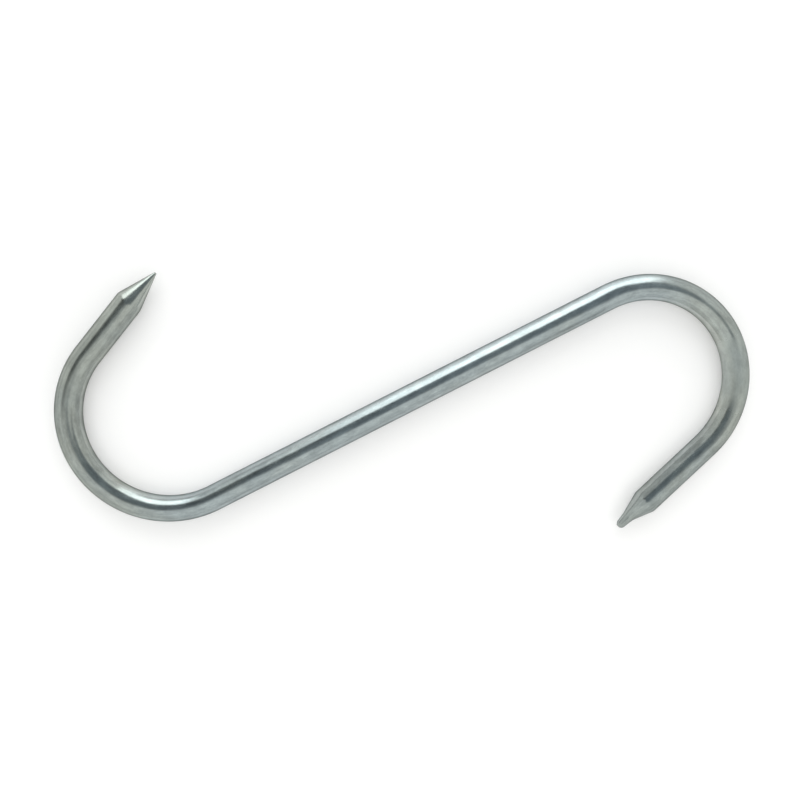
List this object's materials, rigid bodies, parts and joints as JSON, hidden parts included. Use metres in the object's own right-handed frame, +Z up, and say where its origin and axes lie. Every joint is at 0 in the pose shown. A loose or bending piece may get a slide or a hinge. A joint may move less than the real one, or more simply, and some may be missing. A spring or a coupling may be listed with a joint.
{
  "type": "s hook",
  "caption": "Steel S hook bent from round rod, with a pointed end on each hook, for hanging a load from a rail or bar.",
  "frame": {"origin": "on the surface that the hook lies on, under the middle of the straight shank, which is also the middle of its box", "axes": "+X along the shank, towards the hook with the longer leg; +Z up, square to the plane of both hooks; the hook at the -X end opens towards +Y side of the shank"},
  "size_m": [0.2, 0.1352, 0.008],
  "materials": {
    "hook": "bright drawn steel, fine lengthwise drawing lines, mirror-like streaks"
  },
  "bodies": {
    "root": {"hook": "hook"}
  },
  "joints": []
}
